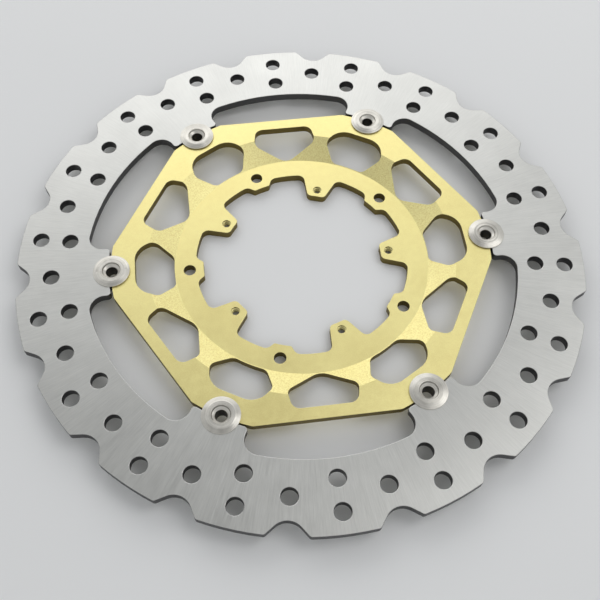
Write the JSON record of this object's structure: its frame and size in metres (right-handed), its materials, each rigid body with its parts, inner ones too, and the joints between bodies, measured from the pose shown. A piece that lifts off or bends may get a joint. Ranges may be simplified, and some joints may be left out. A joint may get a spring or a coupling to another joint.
{
  "type": "brake disc rotor",
  "caption": "Floating brake disc: a petal-edged, drilled friction ring carried by spring-loaded bobbins on a dished, windowed carrier.",
  "frame": {"origin": "centre of the hub's seat, the face that lies against the wheel", "axes": "+Z along the wheel axis, outboard; +X through bobbin 1 and the first lug"},
  "size_m": [0.3192, 0.32, 0.0132],
  "materials": {
    "ring_steel": "ground stainless steel, fine radial grinding lines on both faces",
    "carrier_gold": "gold anodised aluminium, satin, milled and bead blasted, grainier on the slopes",
    "bobbin_metal": "turned, bright",
    "spring_steel": "spring steel, lightly blued",
    "washer_steel": "stainless, stamped",
    "circlip_steel": "phosphated spring steel, dark and oily"
  },
  "bodies": {
    "carrier": {"carrier": "carrier_gold"},
    "ring": {"brake_ring": "ring_steel"},
    "bobbin_set_1": {"bobbin_1": "bobbin_metal", "wave_washer_1": "spring_steel", "thrust_washer_1": "washer_steel", "circlip_1": "circlip_steel"},
    "bobbin_set_2": {"bobbin_2": "bobbin_metal", "wave_washer_2": "spring_steel", "thrust_washer_2": "washer_steel", "circlip_2": "circlip_steel"},
    "bobbin_set_3": {"bobbin_3": "bobbin_metal", "wave_washer_3": "spring_steel", "thrust_washer_3": "washer_steel", "circlip_3": "circlip_steel"},
    "bobbin_set_4": {"bobbin_4": "bobbin_metal", "wave_washer_4": "spring_steel", "thrust_washer_4": "washer_steel", "circlip_4": "circlip_steel"},
    "bobbin_set_5": {"bobbin_5": "bobbin_metal", "wave_washer_5": "spring_steel", "thrust_washer_5": "washer_steel", "circlip_5": "circlip_steel"},
    "bobbin_set_6": {"bobbin_6": "bobbin_metal", "wave_washer_6": "spring_steel", "thrust_washer_6": "washer_steel", "circlip_6": "circlip_steel"}
  },
  "joints": [
    {"name": "ring_float", "type": "slide", "parent": "carrier", "child": "ring", "axis": [0, 0, 1], "range_m": [-0.0004, 0], "stiffness_N_per_m": 100000, "springref_m": 0.0003},
    {"name": "bobbin_1_spin", "type": "hinge", "parent": "ring", "child": "bobbin_set_1", "pos_m": [0.1074, 0, 0.0095], "axis": [0, 0, 1], "continuous": true},
    {"name": "bobbin_2_spin", "type": "hinge", "parent": "ring", "child": "bobbin_set_2", "pos_m": [0.0537, 0.09301, 0.0095], "axis": [0, 0, 1], "continuous": true},
    {"name": "bobbin_3_spin", "type": "hinge", "parent": "ring", "child": "bobbin_set_3", "pos_m": [-0.0537, 0.09301, 0.0095], "axis": [0, 0, 1], "continuous": true},
    {"name": "bobbin_4_spin", "type": "hinge", "parent": "ring", "child": "bobbin_set_4", "pos_m": [-0.1074, 0, 0.0095], "axis": [0, 0, 1], "continuous": true},
    {"name": "bobbin_5_spin", "type": "hinge", "parent": "ring", "child": "bobbin_set_5", "pos_m": [-0.0537, -0.09301, 0.0095], "axis": [0, 0, 1], "continuous": true},
    {"name": "bobbin_6_spin", "type": "hinge", "parent": "ring", "child": "bobbin_set_6", "pos_m": [0.0537, -0.09301, 0.0095], "axis": [0, 0, 1], "continuous": true}
  ]
}
